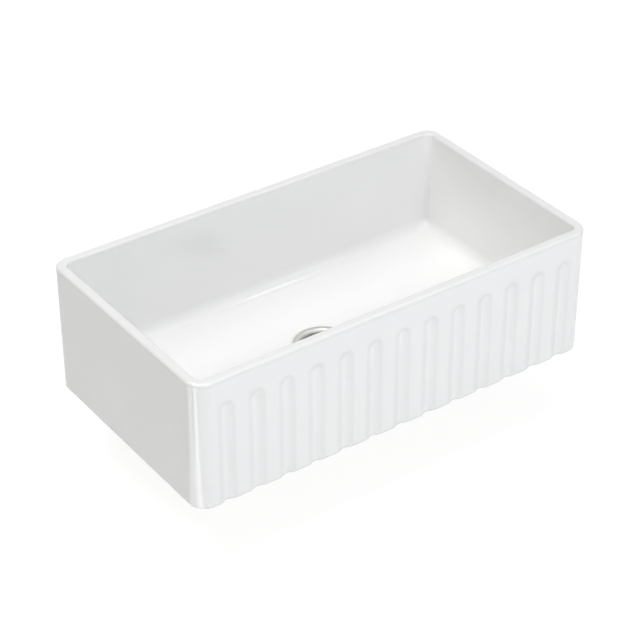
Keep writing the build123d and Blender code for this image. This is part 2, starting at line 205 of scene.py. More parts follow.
def turned_group():
    """Fine lines left by turning or polishing round the drain's axis: a height in metres and a mask."""
    group, given, result = node_group("turned_lines", {"Scale": 900.0, "Depth": 0.00001}, ["Height", "Mask"])
    round_drift = 0.02
    place = add_node(group, "ShaderNodeTexCoord").outputs["Object"]
    split = add_node(group, "ShaderNodeSeparateXYZ", Vector=place).outputs
    flat = add_node(group, "ShaderNodeCombineXYZ", X=split["X"], Y=split["Y"]).outputs["Vector"]
    radius = add_node(group, "ShaderNodeVectorMath", {"operation": "LENGTH"}, _0=flat)
    slow = add_node(group, "ShaderNodeVectorMath", {"operation": "SCALE"}, _0=flat, Scale=round_drift)
    across = add_node(group, "ShaderNodeCombineXYZ", X=radius.outputs["Value"], Z=split["Z"])
    where = add_node(group, "ShaderNodeVectorMath", {"operation": "ADD"}, _0=across.outputs["Vector"],
                     _1=slow.outputs["Vector"])
    noise = add_node(group, "ShaderNodeTexNoise", Vector=where.outputs["Vector"],
                     Scale=given.outputs["Scale"], Detail=3.0, Roughness=0.75)
    depth = maths(group, "MULTIPLY", noise.outputs["Fac"], given.outputs["Depth"])
    group.links.new(depth, result.inputs["Height"])
    group.links.new(noise.outputs["Fac"], result.inputs["Mask"])
    return group


def use_group(tree, name, **links):
    """One of the shared groups, placed in a material with its own values."""
    if name not in bpy.data.node_groups:
        {"mottle": mottle_group, "grain": grain_group, "turned_lines": turned_group}[name]()
    return add_node(tree, "ShaderNodeGroup", {"node_tree": bpy.data.node_groups[name]}, **links)


def new_material(name, **sockets):
    """A Principled material. Sockets are set by name, such as Base_Color."""
    made = bpy.data.materials.new(name)
    made.use_nodes = True
    shader = made.node_tree.nodes["Principled BSDF"]
    for key, value in sockets.items():
        shader.inputs[key.replace("_", " ")].default_value = value
    return made, made.node_tree, shader


def opaque(rgb, share=1.0):
    """An RGBA colour, darkened to a share of itself."""
    return (*[channel * share for channel in rgb], 1.0)


def vary_colour(tree, shader, rgb, share, scale):
    """The colour drifts between itself and a darker share of itself."""
    drift = use_group(tree, "mottle", Scale=scale).outputs["Value"]
    tree.links.new(mixed(tree, drift, opaque(rgb, share), opaque(rgb)), shader.inputs["Base Color"])


def vary_roughness(tree, shader, low, high, scale):
    drift = use_group(tree, "mottle", Scale=scale, Low=low, High=high)
    tree.links.new(drift.outputs["Value"], shader.inputs["Roughness"])


def bump(tree, shader, height):
    """Raises the surface by a height in metres."""
    raised = add_node(tree, "ShaderNodeBump", Strength=1.0, Distance=1.0, Height=height)
    tree.links.new(raised.outputs["Normal"], shader.inputs["Normal"])


# ---------------------------------------------------------------- materials

def fireclay_material(clay):
    """White glaze over fireclay. "bare" is 1 where there is no glaze; the second attribute paints shade into
    the glaze along rounded edges and flute borders.
    """
    made, tree, shader = new_material("glazed_fireclay", IOR=1.5)
    bare, edge_shade = (add_node(tree, "ShaderNodeAttribute", {"attribute_name": name}).outputs["Fac"]
                  for name in ("bare", "edge_shade"))
    ragged = use_group(tree, "mottle", Scale=160.0, Detail=4.0, Low=0.35, High=0.65).outputs["Value"]
    edge = add_node(tree, "ShaderNodeMapRange", {"interpolation_type": "SMOOTHSTEP"}, Value=bare,
                    From_Min=ragged, From_Max=1.0)
    unglazed = maths(tree, "GREATER_THAN", bare, ragged)
    drift = use_group(tree, "mottle", Scale=9.0).outputs["Value"]
    glaze = mixed(tree, drift, opaque(clay.glaze, 0.988), opaque(clay.glaze))
    # painted shade: the glaze darkens towards the edge colour where the second attribute is high
    glaze = mixed(tree, edge_shade, glaze, opaque(clay.painted_edge_shade))
    speckle = use_group(tree, "mottle", Scale=700.0, Detail=5.0).outputs["Value"]
    bisque = mixed(tree, speckle, opaque(clay.bisque, 0.82), opaque(clay.bisque))
    tree.links.new(mixed(tree, unglazed, glaze, bisque), shader.inputs["Base Color"])
    sheen = use_group(tree, "mottle", Scale=14.0, Low=clay.gloss * 0.9, High=clay.gloss * 1.1)
    bare_roughness = 0.85
    rough = add_node(tree, "ShaderNodeMix", Factor=unglazed, A=sheen.outputs["Value"], B=bare_roughness)
    tree.links.new(rough.outputs[0], shader.inputs["Roughness"])
    waves, peel, grit = (use_group(tree, "grain", Scale=scale, Depth=depth).outputs["Height"]
                         for scale, depth in ((16.0, 0.00010), (220.0, 0.000004), (1500.0, 0.00016)))
    smooth = maths(tree, "ADD", waves, peel)
    bump(tree, shader, maths(tree, "ADD", smooth, maths(tree, "MULTIPLY", grit, edge.outputs["Result"])))
    return made


def metal_material(name, rgb, low, high, lines, line_depth, stain):
    """Turned and polished metal: lines round the axis, a drifting polish and a faint stain."""
    made, tree, shader = new_material(name, Metallic=1.0)
    vary_colour(tree, shader, rgb, stain, 90.0)
    turned = use_group(tree, "turned_lines", Scale=lines, Depth=line_depth)
    drift = use_group(tree, "mottle", Scale=120.0, Low=low, High=high)
    line_roughness = 0.12
    brushed = maths(tree, "MULTIPLY_ADD", turned.outputs["Mask"], line_roughness, drift.outputs["Value"])
    tree.links.new(brushed, shader.inputs["Roughness"])
    bump(tree, shader, turned.outputs["Height"])
    return made


def brass_material(rgb):
    """Cast brass that has dulled, with a sandy skin."""
    made, tree, shader = new_material("cast_brass", Metallic=1.0)
    vary_colour(tree, shader, rgb, 0.62, 60.0)
    vary_roughness(tree, shader, 0.30, 0.48, 150.0)
    bump(tree, shader, use_group(tree, "grain", Scale=1300.0, Depth=0.00007).outputs["Height"])
    return made


def soft_material(name, rgb, roughness, grain_depth, share, grain_scale):
    """Rubber, plastic or fibre: an even body with a fine grain and a drifting bloom."""
    made, tree, shader = new_material(name)
    vary_colour(tree, shader, rgb, share, 140.0)
    vary_roughness(tree, shader, roughness * 0.9, min(1.0, roughness * 1.1), 220.0)
    bump(tree, shader, use_group(tree, "grain", Scale=grain_scale, Depth=grain_depth).outputs["Height"])
    return made


def fitting_material(name):
    """The named finish of the drain's pieces, made when it is first asked for."""
    if name in bpy.data.materials:
        return bpy.data.materials[name]
    fitting = bpy.context.scene.sink_fitting
    metals = {"brushed_steel": (fitting.steel, 0.40, 0.46, 1500.0, 0.000006, 0.92),
              # painted shade: the basket's steel is darker than the strainer's, for the dim inside of the
              # drain
              "shade_darkened_steel": (fitting.basket_shade, 0.40, 0.46, 1500.0, 0.000006, 0.92),
              "spring_steel": (fitting.steel, 0.28, 0.36, 2400.0, 0.000004, 0.8),
              "chrome_plate": (fitting.chrome, 0.02, 0.05, 700.0, 0.000001, 0.97)}
    softs = {"moulded_rubber": (fitting.black_rubber, 0.62, 0.00003, 0.85, 1600.0),
             "pale_seal": (fitting.pale_rubber, 0.55, 0.00002, 0.93, 1600.0),
             "pressed_fibre": (fitting.fibre, 0.9, 0.00012, 0.7, 900.0),
             "white_plastic": (fitting.plastic, 0.4, 0.00001, 0.96, 1600.0)}
    if name in metals:
        return metal_material(name, *metals[name])
    if name in softs:
        return soft_material(name, *softs[name])
    return brass_material(fitting.brass)


# ---------------------------------------------------------------- mesh making

def face_outwards(bm):
    """Turns every face of a bmesh outwards."""
    bmesh.ops.recalc_face_normals(bm, faces=bm.faces)


def loft(bm, rings, closed=False):
    """A skin through rings of equal length. Each ring after the first is extruded from the one before."""
    row = [bm.verts.new(point) for point in rings[0]]
    rows = [row]
    edges = [bm.edges.new((row[i - 1], row[i])) for i in range(len(row))]
    first_edges = edges
    for ring in rings[1:]:
        made = bmesh.ops.extrude_edge_only(bm, edges=edges)["geom"]
        new = {item for item in made if isinstance(item, bmesh.types.BMVert)}
        row = [next(edge.other_vert(vert) for edge in vert.link_edges if edge.other_vert(vert) in new)
               for vert in row]
        for vert, point in zip(row, ring):
            vert.co = point
        edges = [bm.edges.get((row[i - 1], row[i])) for i in range(len(row))]
        rows.append(row)
    if closed:
        bmesh.ops.bridge_loops(bm, edges=edges + first_edges)
    return rows


def wire(bm, corners):
    """A closed outline in the XZ plane, of corners (radius, height) or (radius, height, rounding)."""
    verts = [bm.verts.new((corner[0], 0.0, corner[1])) for corner in corners]
    for i in range(len(verts)):
        bm.edges.new((verts[i - 1], verts[i]))
    for i, corner in enumerate(corners):
        if len(corner) < 3:
            continue
        here, before, after = (Vector(corners[j][:2]) for j in (i, i - 1, (i + 1) % len(corners)))
        half_angle = (before - here).angle(after - here) / 2
        bmesh.ops.bevel(bm, geom=[verts[i]], affect="VERTICES", offset_type="OFFSET",
                        offset=corner[2] / math.tan(half_angle), segments=5, profile=0.5, material=-1)
    return bm.verts[:] + bm.edges[:]


def turned_shape(corners, steps=144):
    """A bmesh turned about the drain's axis from a closed outline."""
    bm = bmesh.new()
    bmesh.ops.spin(bm, geom=wire(bm, corners), axis=(0, 0, 1), cent=(0, 0, 0), angle=2 * math.pi, steps=steps,
                   use_merge=True)
    bmesh.ops.remove_doubles(bm, verts=bm.verts, dist=weld)
    face_outwards(bm)
    return bm


def prism(sides, corner_radius, low, high):
    """A bmesh of an upright prism with a flat side facing the front."""
    bm = bmesh.new()
    made = bmesh.ops.create_circle(bm, cap_ends=True, segments=sides, radius=corner_radius)
    bmesh.ops.rotate(bm, verts=made["verts"], cent=(0, 0, 0), matrix=Matrix.Rotation(math.pi / 2, 3, "Z"))
    bmesh.ops.translate(bm, verts=made["verts"], vec=(0, 0, low))
    top = bmesh.ops.extrude_face_region(bm, geom=bm.faces[:])["geom"]
    bmesh.ops.translate(bm, verts=[item for item in top if isinstance(item, bmesh.types.BMVert)],
                        vec=(0, 0, high - low))
    face_outwards(bm)
    return bm


def put(name, data):
    """An object with its data, in the scene."""
    made = bpy.data.objects.new(name, data)
    bpy.context.scene.collection.objects.link(made)
    return made


def new_piece(bm, name, finish, sharp=35.0, weighted=True):
    """An object from a bmesh, smooth apart from its sharp edges."""
    mesh = bpy.data.meshes.new(name)
    bm.to_mesh(mesh)
    bm.free()
    piece = put(name, mesh)
    mesh.shade_smooth()
    mesh.set_sharp_from_angle(angle=math.radians(sharp))
    if finish is not None:
        mesh.materials.append(finish)
    if weighted:
        even = piece.modifiers.new("even_shading", "WEIGHTED_NORMAL")
        even.keep_sharp = True
    return piece


def combined(bm, other, operation):
    """A bmesh of two shapes joined, or of the first with the second cut out or kept in common."""
    pair = [new_piece(shape, "shape", None, weighted=False) for shape in (bm, other)]
    step = pair[0].modifiers.new("shape", "BOOLEAN")
    step.operation = operation
    step.solver = "EXACT"
    step.object = pair[1]
    result = bmesh.new()
    result.from_object(pair[0], bpy.context.evaluated_depsgraph_get())
    for used in pair:
        bpy.data.meshes.remove(used.data)
    bmesh.ops.remove_doubles(result, verts=result.verts, dist=weld)
    return result


def ease_edges(bm, width):
    """Merges what lies flat, then rounds the sharp edges."""
    flat, sharp = math.radians(1.0), math.radians(40.0)
    bmesh.ops.dissolve_limit(bm, angle_limit=flat, verts=bm.verts, edges=bm.edges, delimit={"NORMAL"})
    edges = [edge for edge in bm.edges if edge.is_manifold and edge.calc_face_angle() > sharp]
    bmesh.ops.bevel(bm, geom=edges, affect="EDGES", offset_type="OFFSET", offset=width, segments=2,
                    profile=0.5, material=-1, clamp_overlap=True)


def place(piece, node, body, slot):
    """The piece stands for a CAD node and moves with a body."""
    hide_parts(node)
    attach(piece, body)


def reach(node):
    """Lowest height, highest height and outer radius of a CAD node that is turned about the drain's axis."""
    low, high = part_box(node)
    return low.z, high.z, high.x


# ---------------------------------------------------------------- fireclay body

def plan_ring(half_x, half_y, front_corner, back_corner, height, columns):
    """Points round a rounded rectangle, from the front's left. Columns are shares of the front's straight."""
    points = [(share * (half_x - front_corner), -half_y) for share in columns]
    side_steps, corner_steps, back_steps = 22, 14, 56

    def corner(centre_x, centre_y, radius, start):
        for step in range(1, corner_steps):
            angle = math.radians(start + 90 * step / corner_steps)
            points.append((centre_x + radius * math.cos(angle), centre_y + radius * math.sin(angle)))

    def straight(start, end, steps):
        for step in range(steps + 1):
            share = step / steps
            points.append((start[0] + (end[0] - start[0]) * share, start[1] + (end[1] - start[1]) * share))

    corner(half_x - front_corner, front_corner - half_y, front_corner, -90)
    straight((half_x, front_corner - half_y), (half_x, half_y - back_corner), side_steps)
    corner(half_x - back_corner, half_y - back_corner, back_corner, 0)
    straight((half_x - back_corner, half_y), (back_corner - half_x, half_y), back_steps)
    corner(back_corner - half_x, half_y - back_corner, back_corner, 90)
    straight((-half_x, half_y - back_corner), (-half_x, front_corner - half_y), side_steps)
    corner(front_corner - half_x, front_corner - half_y, front_corner, 180)
    return [Vector((x, y, height)) for x, y in points]


def flute_columns(clay):
    """Shares of the apron's straight, close together across each flute."""
    offsets = [0.0, 2.0, 4.0, 6.0, 8.0, 10.0, 12.0, 14.0, 16.0, 18.0, 20.5, 25.0]
    straight = clay.width / 2 - clay.front_corner
    places = {-1.0, 1.0}
    for index in range(clay.flute_count):
        middle = clay.flute_pitch * (index - (clay.flute_count - 1) / 2)
        for offset in offsets:
            places |= {round((middle + side * offset * mm) / straight, 6) for side in (-1, 1)}
        places.add(round((middle + clay.flute_pitch / 2) / straight, 6))
    return sorted(share for share in places if abs(share) <= 1.0)


def from_flute(clay, x, z):
    """How far a place lies from the nearest flute's middle, and how far above the centre of its round end."""
    last = clay.flute_count - 1
    index = min(max(round(x / clay.flute_pitch + last / 2), 0), last)
    rise = max(0.0, z - clay.flute_top)
    return math.hypot(x - clay.flute_pitch * (index - last / 2), rise), rise


def flute_sink(clay, x, z):
    """How deep the apron's surface lies at a place: a hollow arc that meets the flat through a wider arc."""
    away = from_flute(clay, x, z)[0]
    if away >= clay.flute_half_width:
        return 0.0
    turn = 2 * math.atan(clay.flute_depth / clay.flute_half_width)
    if away <= clay.flute_hollow * math.sin(turn):
        return clay.flute_depth - clay.flute_hollow + math.sqrt(clay.flute_hollow ** 2 - away ** 2)
    blend = clay.flute_half_width / math.sin(turn) - clay.flute_hollow
    return blend - math.sqrt(blend ** 2 - (clay.flute_half_width - away) ** 2)


def painted_flute_shade(clay, x, z):
    """How much painted shade lies over the rounded border of a flute: most at its round top, which faces
    down.
    """
    away, rise = from_flute(clay, x, z)
    turn = 2 * math.atan(clay.flute_depth / clay.flute_half_width)
    start = clay.flute_hollow * math.sin(turn)
    share = (away - start) / (clay.flute_half_width - start)
    return (0.3 + 0.3 * rise / away) * math.sin(math.pi * share) ** 2 if 0.0 < share < 1.0 else 0.0


def fluted(clay, ring):
    return [Vector((point.x, point.y + flute_sink(clay, point.x, point.z), point.z))
            if point.y < 0.01 * mm - clay.depth / 2 else point for point in ring]


def drawn_in(ring, inset, height):
    """The ring moved inwards, square to its own line."""
    moved = []
    for i, point in enumerate(ring):
        along = ring[(i + 1) % len(ring)] - ring[i - 1]
        outward = Vector((along.y, -along.x, 0.0)).normalized()
        moved.append(Vector((point.x, point.y, height)) - outward * inset)
    return moved


def quarter(steps):
    """Angles through a quarter turn."""
    return [math.pi / 2 * step / steps for step in range(steps + 1)]


def outside_rings(clay, columns):
    """From the foot's edge up the outside and round the rim's outer edge, with the share of painted shade on
    each ring.
    """
    half_x, half_y = clay.width / 2, clay.depth / 2
    foot = fluted(clay, plan_ring(half_x, half_y, clay.front_corner, clay.back_corner, 0.0, columns))
    rings = [drawn_in(foot, clay.foot_round * (1 - math.sin(a)), clay.foot_round * (1 - math.cos(a)))
             for a in quarter(5)]
    rim_start = clay.height - clay.rim_outer
    top_steps = 15
    heights = [clay.flute_top + clay.flute_half_width * step / top_steps for step in range(top_steps + 1)]
    for height in [2 * clay.foot_round, 3 * clay.foot_round] + heights + [rim_start - 4 * mm]:
        upright = plan_ring(half_x, half_y, clay.front_corner, clay.back_corner, height, columns)
        rings.append(fluted(clay, upright))
    for a in quarter(8):
        inset = clay.rim_outer * (1 - math.cos(a))
        rings.append(plan_ring(half_x - inset, half_y - inset, clay.front_corner - inset,
                               clay.back_corner - inset, rim_start + clay.rim_outer * math.sin(a), columns))
    # painted shade at the foot's rounding and in the rim's outer rounding
    shade_shares = [0.7, 0.7, 0.7, 0.7, 0.65, 0.5, 0.2] + [0.0] * (len(heights) + 2)
    return rings, shade_shares + [0.3, 0.5, 0.55, 0.55, 0.55, 0.6, 0.7, 0.75, 0.75]


def bowl_rings(clay, columns):
    """Round the rim's inner edge and down the bowl's walls, with the share of painted shade on each ring."""
    half_x, half_y = clay.width / 2 - clay.wall, clay.depth / 2 - clay.wall
    rings = []
    for a in quarter(7):
        out = clay.rim_inner * (1 - math.sin(a))
        corner = clay.bowl_corner + out
        rings.append(plan_ring(half_x + out, half_y + out, corner, corner,
                               clay.height - clay.rim_inner * (1 - math.cos(a)), columns))
    rings.append(plan_ring(half_x, half_y, clay.bowl_corner, clay.bowl_corner,
                           clay.height - 2 * clay.rim_inner, columns))
    for a in reversed(quarter(14)):
        inset = clay.cove * (1 - math.sin(a))
        corner = clay.bowl_corner + (clay.floor_corner - clay.bowl_corner) * inset / clay.cove
        rings.append(plan_ring(half_x - inset, half_y - inset, corner, corner,
                               clay.floor_height + clay.cove * (1 - math.cos(a)), columns))
    # painted shade round the rim's inner edge
    return rings, [0.75, 0.75, 0.8, 1.0, 1.0, 0.9, 0.5, 0.1] + [0.0] * (len(rings) - 8)


def floor_rings(clay, wall_foot):
    """From the foot of the cove to the drain: the rings grow rounder and fall a little."""
    edge_round = 0.8 * mm
    inner = clay.seat + edge_round
    low = clay.floor_height - clay.dish_drop
    rings = []
    steps = 16
    for step in range(1, steps + 1):
        share = (step / steps) ** 0.8
        ring = []
        for point in wall_foot:
            round_point = Vector((point.x, point.y, 0.0)).normalized() * inner
            spot = Vector((point.x, point.y, 0.0)).lerp(round_point, share)
            fall = min(max((clay.dish - spot.length) / (clay.dish - inner), 0.0), 1.0)
            spot.z = clay.floor_height - clay.dish_drop * fall
            ring.append(spot)
        rings.append(ring)
    last = rings[-1]

    def circle(radius, height):
        up = Vector((0, 0, height))
        return [Vector((point.x, point.y, 0.0)).normalized() * radius + up for point in last]

    for a in quarter(4)[1:]:
        rings.append(circle(inner - edge_round * math.sin(a), low - edge_round * (1 - math.cos(a))))
    seat_z = low - clay.seat_depth
    rings.append(circle(clay.seat, seat_z))
    bevel_width, bevel_depth = 3.125 * mm, 4.0 * mm
    rings.append(circle(clay.drain_hole + bevel_width, seat_z))
    rings.append(circle(clay.drain_hole, seat_z - bevel_depth))
    return rings, circle


def base_rings(clay, circle, columns):
    """The drain's lower edge, its pad, the recess under the base and the foot's inner edge."""
    roof = clay.floor_height - clay.dish_drop - clay.slab
    pad = roof - clay.pad_height
    hole_round, pad_round = 1.0 * mm, 0.6 * mm
    rings = [circle(clay.drain_hole + hole_round * (1 - math.cos(a)), pad + hole_round * (1 - math.sin(a)))
             for a in quarter(3)]
    rings += [circle(clay.pad - pad_round * (1 - math.sin(a)), pad + pad_round * (1 - math.cos(a)))
              for a in quarter(3)]
    rings.append(circle(clay.pad, roof))
    half_x, half_y = clay.width / 2 - clay.foot_width, clay.depth / 2 - clay.foot_width
    corner = clay.recess_corner - clay.recess_round
    wide = plan_ring(half_x - clay.recess_round, half_y - clay.recess_round, corner, corner, roof, columns)
    near = rings[-1]
    for share in (0.12, 0.35, 0.65):
        rings.append([a.lerp(b, share) for a, b in zip(near, wide)])
    for a in quarter(6):
        inset = clay.recess_round * (1 - math.sin(a))
        corner = clay.recess_corner - inset
        rings.append(plan_ring(half_x - inset, half_y - inset, corner, corner,
                               roof - clay.recess_round * (1 - math.cos(a)), columns))
    edge = 1.2 * mm
    for a in quarter(3):
        out = edge * (1 - math.cos(a))
        corner = clay.recess_corner + out
        rings.append(plan_ring(half_x + out, half_y + out, corner, corner, edge * (1 - math.sin(a)), columns))
    return rings


class SINK_OT_fireclay_body(bpy.types.Operator):
    """Make the glazed fireclay body with its fluted apron, bowl, drain seat and foot"""
    bl_idname = "sink.fireclay_body"
    bl_label = "Fireclay body"

    def execute(self, context):
        clay = context.scene.sink_clay
        columns = flute_columns(clay)
        outside, outside_shade = outside_rings(clay, columns)
        bowl, bowl_shade = bowl_rings(clay, columns)
        floor, circle = floor_rings(clay, bowl[-1])
        base = base_rings(clay, circle, columns)
        bm = bmesh.new()
        bare, edge_shade = (bm.verts.layers.float.new(name) for name in ("bare", "edge_shade"))
        rows = loft(bm, outside + bowl + floor + base, closed=True)
        # painted shade: each ring's share, raised over the flute borders, is stored for the glaze colour
        for row, share in zip(rows, outside_shade + bowl_shade):
            for vert in row:
                front = vert.co.y < clay.flute_depth - clay.depth / 2
                vert[edge_shade] = max(share, painted_flute_shade(clay, vert.co.x, vert.co.z) if front else 0.0)
        glazed_rows = len(outside) + len(bowl) + len(floor)
        for row in rows[glazed_rows:]:
            for vert in row:
                vert[bare] = 1.0
        for row, share in zip(rows[:4], (1.0, 0.55, 0.3, 0.1)):
            for vert in row:
                vert[bare] = share
        face_outwards(bm)
        piece = new_piece(bm, "fireclay_body", fireclay_material(clay))
        place(piece, "sink_body", "sink", "white_glaze")
        return {"FINISHED"}


# ---------------------------------------------------------------- strainer

def thread_ridge(bm, crest, depth, low, high, pitch):
    """One rising ridge of thread, which fades out at both ends."""
    per_turn = 96
    sunk = 0.15 * mm
    half_root, half_crest = 0.44, 0.14  # shares of the pitch
    rise = high - low
    steps = int(per_turn * rise / pitch)
    fade = per_turn * 0.4
    rings = []
    for step in range(steps + 1):
        angle = 2 * math.pi * step / per_turn
        height = low + rise * step / steps
        share = min(1.0, (step + 1) / fade, (steps - step + 1) / fade)
        root = crest - depth - sunk
        top = crest - depth + depth * share
        profile = ((root, -half_root), (top, -half_crest), (top, half_crest), (root, half_root))
        rings.append([Vector((r * math.cos(angle), r * math.sin(angle), height + part * pitch))
                      for r, part in profile])
    rows = loft(bm, rings)
    for row in (rows[0], rows[-1]):
        bm.faces.new(row)
    face_outwards(bm)


def threaded(corners, threads, fitting):
    """A turned shape with outside threads, each given as (crest radius, low, high)."""
    bm = turned_shape(corners)
    for crest, low, high in threads:
        ridge = bmesh.new()
        thread_ridge(ridge, crest, fitting.thread_depth, low, high, fitting.pitch)
        mesh = bpy.data.meshes.new("ridge")
        ridge.to_mesh(mesh)
        ridge.free()
        bm.from_mesh(mesh)
        bpy.data.meshes.remove(mesh)
    return bm


class SINK_OT_strainer_body(bpy.types.Operator):
    """Make the strainer's flange, threaded cup and outlet, and the crosspiece in it"""
    bl_idname = "sink.strainer_body"
    bl_label = "Strainer body"

    def execute(self, context):
        fitting = context.scene.sink_fitting
        depth = fitting.thread_depth
        low, high, flange = reach("strainer_body")
        under = high - 2.4 * mm
        throat = high - 7.4 * mm
        foot = high - 48 * mm
        seat = foot - 6 * mm
        shoulder = seat - 2.4 * mm
        step = seat - 10.2 * mm
        cup, wall = 41.0 * mm, 43.4 * mm
        lip = 0.35 * mm
        corners = [(wall, throat), (wall + 3.906 * mm, under, lip), (flange, under, lip),
                   (flange, under + 0.8 * mm, lip), (cup + 12 * mm, high, 3 * mm),
                   (cup + 8.5 * mm, high, 3 * mm), (cup + 5 * mm, high - 1 * mm, 3 * mm),
                   (cup, throat, 3 * mm), (cup, foot, 3 * mm), (28 * mm, seat), (24 * mm, seat),
                   (19.8 * mm, seat - 4 * mm), (19.8 * mm, step), (18.4 * mm, step), (18.4 * mm, low, lip),
                   (23.6 * mm - depth, low, lip), (23.6 * mm - depth, shoulder - fitting.pitch),
                   (23.6 * mm, shoulder - fitting.pitch), (23.6 * mm, shoulder),
                   (30.4 * mm, shoulder, 3 * mm), (wall - depth, foot - 2.4 * mm, lip),
                   (wall - depth, 17 * mm), (wall, 17 * mm)]
        threads = [(wall, foot + 0.4 * mm, 16.2 * mm), (23.6 * mm, low + 1.4 * mm, shoulder - 3.4 * mm)]
        bm = threaded(corners, threads, fitting)
        piece = new_piece(bm, "strainer_flange_and_cup", fitting_material("brushed_steel"))
        place(piece, "strainer_body", "sink", "steel")
        eased_copy("crosspiece", "outlet_crosspiece", "brushed_steel", 0.35 * mm, "sink", "steel")
        return {"FINISHED"}


def eased_copy(node, name, finish, width, body, slot):
    """A merged copy of a CAD node with its edges rounded, in place of the node."""
    bm = bmesh.new()
    bm.from_mesh(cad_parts[node].data)
    bmesh.ops.remove_doubles(bm, verts=bm.verts, dist=weld)
    ease_edges(bm, width)
    piece = new_piece(bm, name, fitting_material(finish))
    normals = piece.data.attributes.get("custom_normal")
    if normals is not None:
        piece.data.attributes.remove(normals)
    place(piece, node, body, slot)


def ring_piece(node, name, inner, rounding, finish, body, slot):
    """A flat ring as large as its CAD node, with rounded edges."""
    low, high, outer = reach(node)
    corners = [(radius, height, rounding)
               for radius, height in ((inner, low), (outer, low), (outer, high), (inner, high))]
    piece = new_piece(turned_shape(corners, 128), name, fitting_material(finish))
    place(piece, node, body, slot)


class SINK_OT_sealing_rings(bpy.types.Operator):
    """Make the seal, gasket, friction ring and washer that stay with the sink"""
    bl_idname = "sink.sealing_rings"
    bl_label = "Sealing rings"

    def execute(self, context):
        for node, name, inner, rounding, finish, slot in (
                ("flange_seal", "flange_seal_ring", 49.15, 0.4, "pale_seal", "pale_rubber"),
                ("drain_gasket", "rubber_gasket", 43.9, 1.0, "moulded_rubber", "black_rubber"),
                ("friction_ring", "fibre_friction_ring", 43.9, 0.2, "pressed_fibre", "fibre"),
                ("tailpiece_washer", "plastic_washer", 18.4, 0.5, "white_plastic", "white_plastic")):
            ring_piece(node, name, inner * mm, rounding * mm, finish, "sink", slot)
        return {"FINISHED"}


class SINK_OT_locknut(bpy.types.Operator):
    """Make the cast locknut with its eight lugs"""
    bl_idname = "sink.locknut"
    bl_label = "Locknut"

    def execute(self, context):
        low, high, outer = reach("locknut")
        bore, hub, skirt = 43.55 * mm, 49 * mm, high - 4 * mm
        rounding = 0.8 * mm
        bm = turned_shape([(bore, low, 0.5 * mm), (hub, low, rounding), (hub, skirt, rounding),
                           (outer, skirt, rounding), (outer, high, rounding), (bore, high, 0.5 * mm)])
        lugs = bmesh.new()
        start, end, top = hub - 1.6 * mm, outer - rounding, high - 2 * mm
        lug_count, lug_width = 8, 9 * mm
        for index in range(lug_count):
            turn = Matrix.Rotation(2 * math.pi / lug_count * index, 3, "Z")
            made = bmesh.ops.create_cube(lugs, size=1.0)["verts"]
            bmesh.ops.scale(lugs, verts=made, vec=(end - start, lug_width, top - low))
            bmesh.ops.translate(lugs, verts=made, vec=((start + end) / 2, 0, (top + low) / 2))
            bmesh.ops.rotate(lugs, verts=made, cent=(0, 0, 0), matrix=turn)
        bmesh.ops.bevel(lugs, geom=lugs.edges[:], affect="EDGES", offset_type="OFFSET", offset=rounding,
                        segments=3, profile=0.5, material=-1)
        bm = combined(bm, lugs, "UNION")
        place(new_piece(bm, "cast_locknut", fitting_material("cast_brass")), "locknut", "sink", "brass")
        return {"FINISHED"}


class SINK_OT_tailpiece(bpy.types.Operator):
    """Make the outlet tube and the hexagonal nut that holds it"""
    bl_idname = "sink.tailpiece"
    bl_label = "Tailpiece and nut"

    def execute(self, context):
        low, high, flange = reach("tailpiece")
        under = high - 1.4 * mm
        tube = 19.05 * mm
        corners = [(tube - 1 * mm, low, 0.3 * mm), (tube, low, 0.4 * mm), (tube, under, 0.5 * mm),
                   (flange, under, 0.4 * mm), (flange, high, 0.4 * mm), (tube - 1 * mm, high, 0.6 * mm)]
        piece = new_piece(turned_shape(corners), "tailpiece_tube", fitting_material("chrome_plate"))
        place(piece, "tailpiece", "sink", "chrome")

        low, high, _ = reach("coupling_nut")
        half_across, chamfer_width, slant = 27.5 * mm, 2.6 * mm, math.radians(30)
        full = half_across / math.cos(slant)
        cut = full - 1.2 * mm
        chamfer = cut - chamfer_width
        slope = chamfer_width * math.tan(slant)
        envelope = turned_shape([(0, low), (chamfer, low), (cut, low + slope), (cut, high - slope),
                                 (chamfer, high), (0, high)])
        bore, lip = 23.75 * mm, tube + 1 * mm
        inside = turned_shape([(0, low - 1 * mm), (lip + 0.6 * mm, low - 1 * mm), (lip + 0.6 * mm, low),
                               (lip, low + 0.6 * mm), (lip, low + 4 * mm), (bore, low + 4 * mm),
                               (bore, high - 1 * mm), (bore + 1 * mm, high), (bore + 1 * mm, high + 1 * mm),
                               (0, high + 1 * mm)])
        bm = combined(prism(6, full, low, high), envelope, "INTERSECT")
        bm = combined(bm, inside, "DIFFERENCE")
        piece = new_piece(bm, "hexagonal_coupling_nut", fitting_material("chrome_plate"), sharp=20.0)
        edge = piece.modifiers.new("soft_edges", "BEVEL")
        edge.width, edge.segments, edge.limit_method = 0.35 * mm, 3, "ANGLE"
        edge.angle_limit = math.radians(20)
        edge.harden_normals = False
        piece.modifiers.move(1, 0)
        place(piece, "coupling_nut", "sink", "chrome")
        return {"FINISHED"}


# ---------------------------------------------------------------- basket

def round_hole(rows, row, column, reach_across, radius):
    """Opens a round hole at a place on a net of rows: its neighbours move onto a circle."""
    count = len(rows[row])

    def vert(up, along):
        return rows[row + up][(column + along) % count]

    centre = vert(0, 0).co.copy()
    across = (vert(0, 1).co - vert(0, -1).co).normalized()
    up = (vert(1, 0).co - vert(-1, 0).co).normalized()
    border = [(a, b) for a in (-1, 0, 1) for b in range(-reach_across, reach_across + 1)
              if abs(a) == 1 or abs(b) == reach_across]
    for a, b in border:
        away = vert(a, b).co - centre
        angle = math.atan2(away.dot(up), away.dot(across))
        vert(a, b).co = centre + radius * (math.cos(angle) * across + math.sin(angle) * up)
    return [vert(0, b) for b in range(1 - reach_across, reach_across)]


